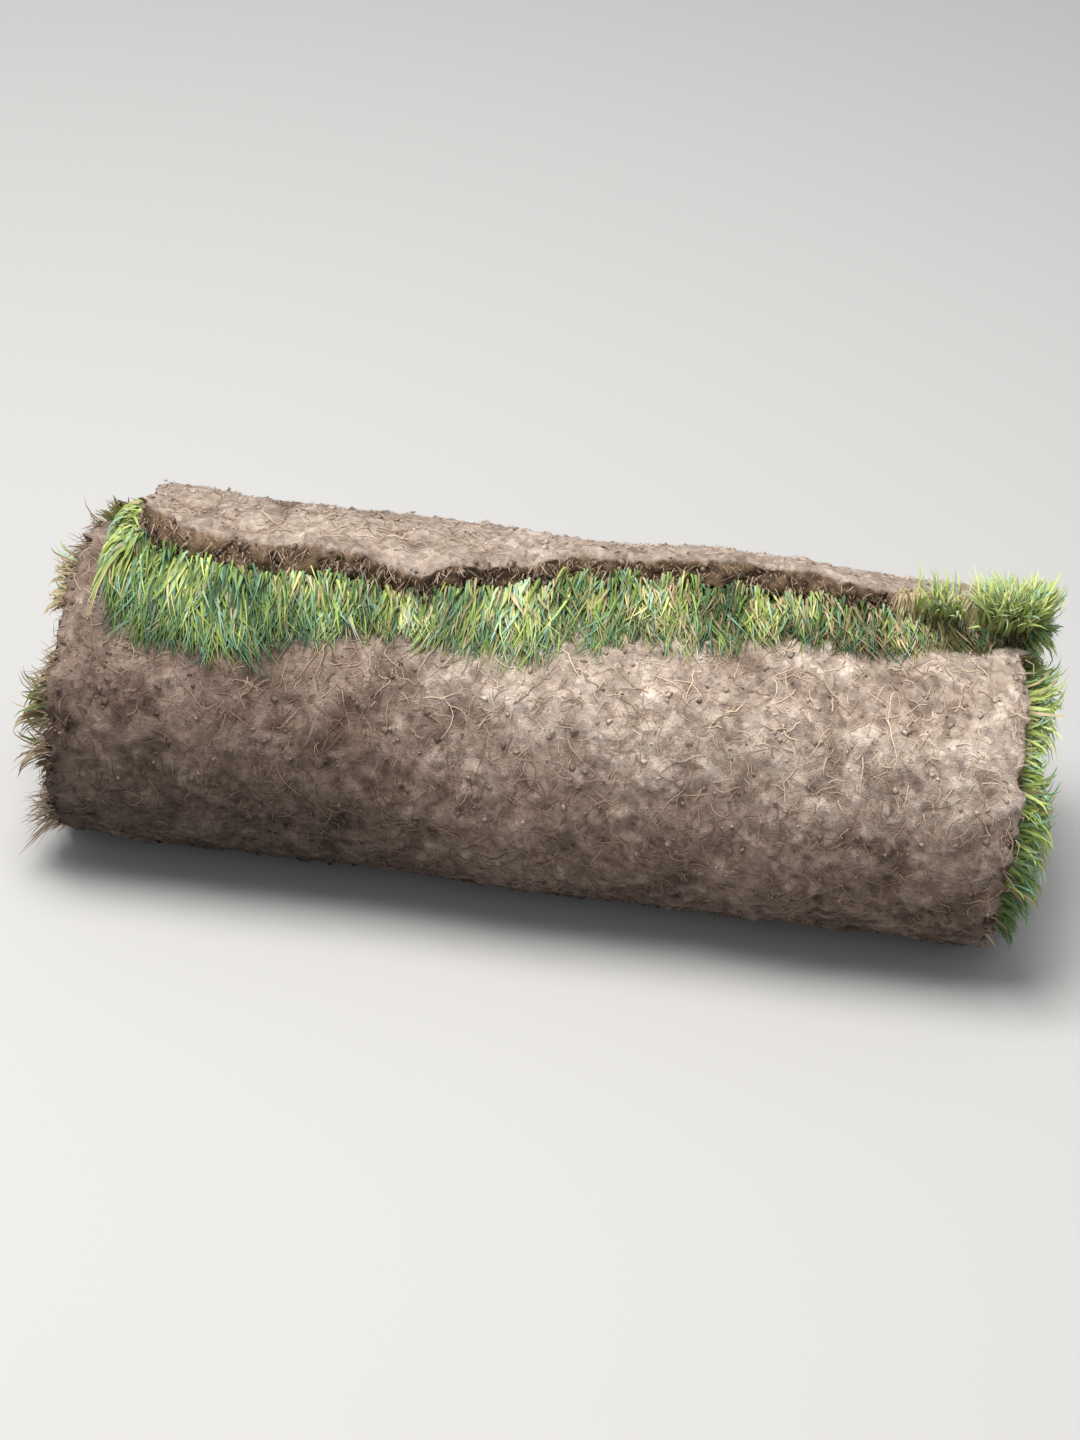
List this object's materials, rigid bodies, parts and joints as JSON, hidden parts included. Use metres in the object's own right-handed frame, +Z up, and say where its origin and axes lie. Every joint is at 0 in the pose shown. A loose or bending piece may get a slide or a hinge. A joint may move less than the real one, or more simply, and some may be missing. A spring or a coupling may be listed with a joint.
{
  "type": "roll of turf",
  "caption": "Strip of lawn wound up with its grass inside, lying on its side: soil and roots outwards, a ragged outer end on top, spiral turns and an open eye at both ends.",
  "frame": {"origin": "middle of the flattened underside, below the roll's axis and halfway along it", "axes": "+X along the roll, +Y towards the back, where the outer end comes up, +Z up"},
  "size_m": [0.61, 0.2325, 0.2348],
  "materials": {
    "soil": "drying soil held together by roots, matt and crumbly",
    "roots": "dry fibrous roots and thatch",
    "grass": "mown grass blades, soft satin"
  },
  "bodies": {
    "root": {"turf_roll": "soil"}
  },
  "joints": []
}
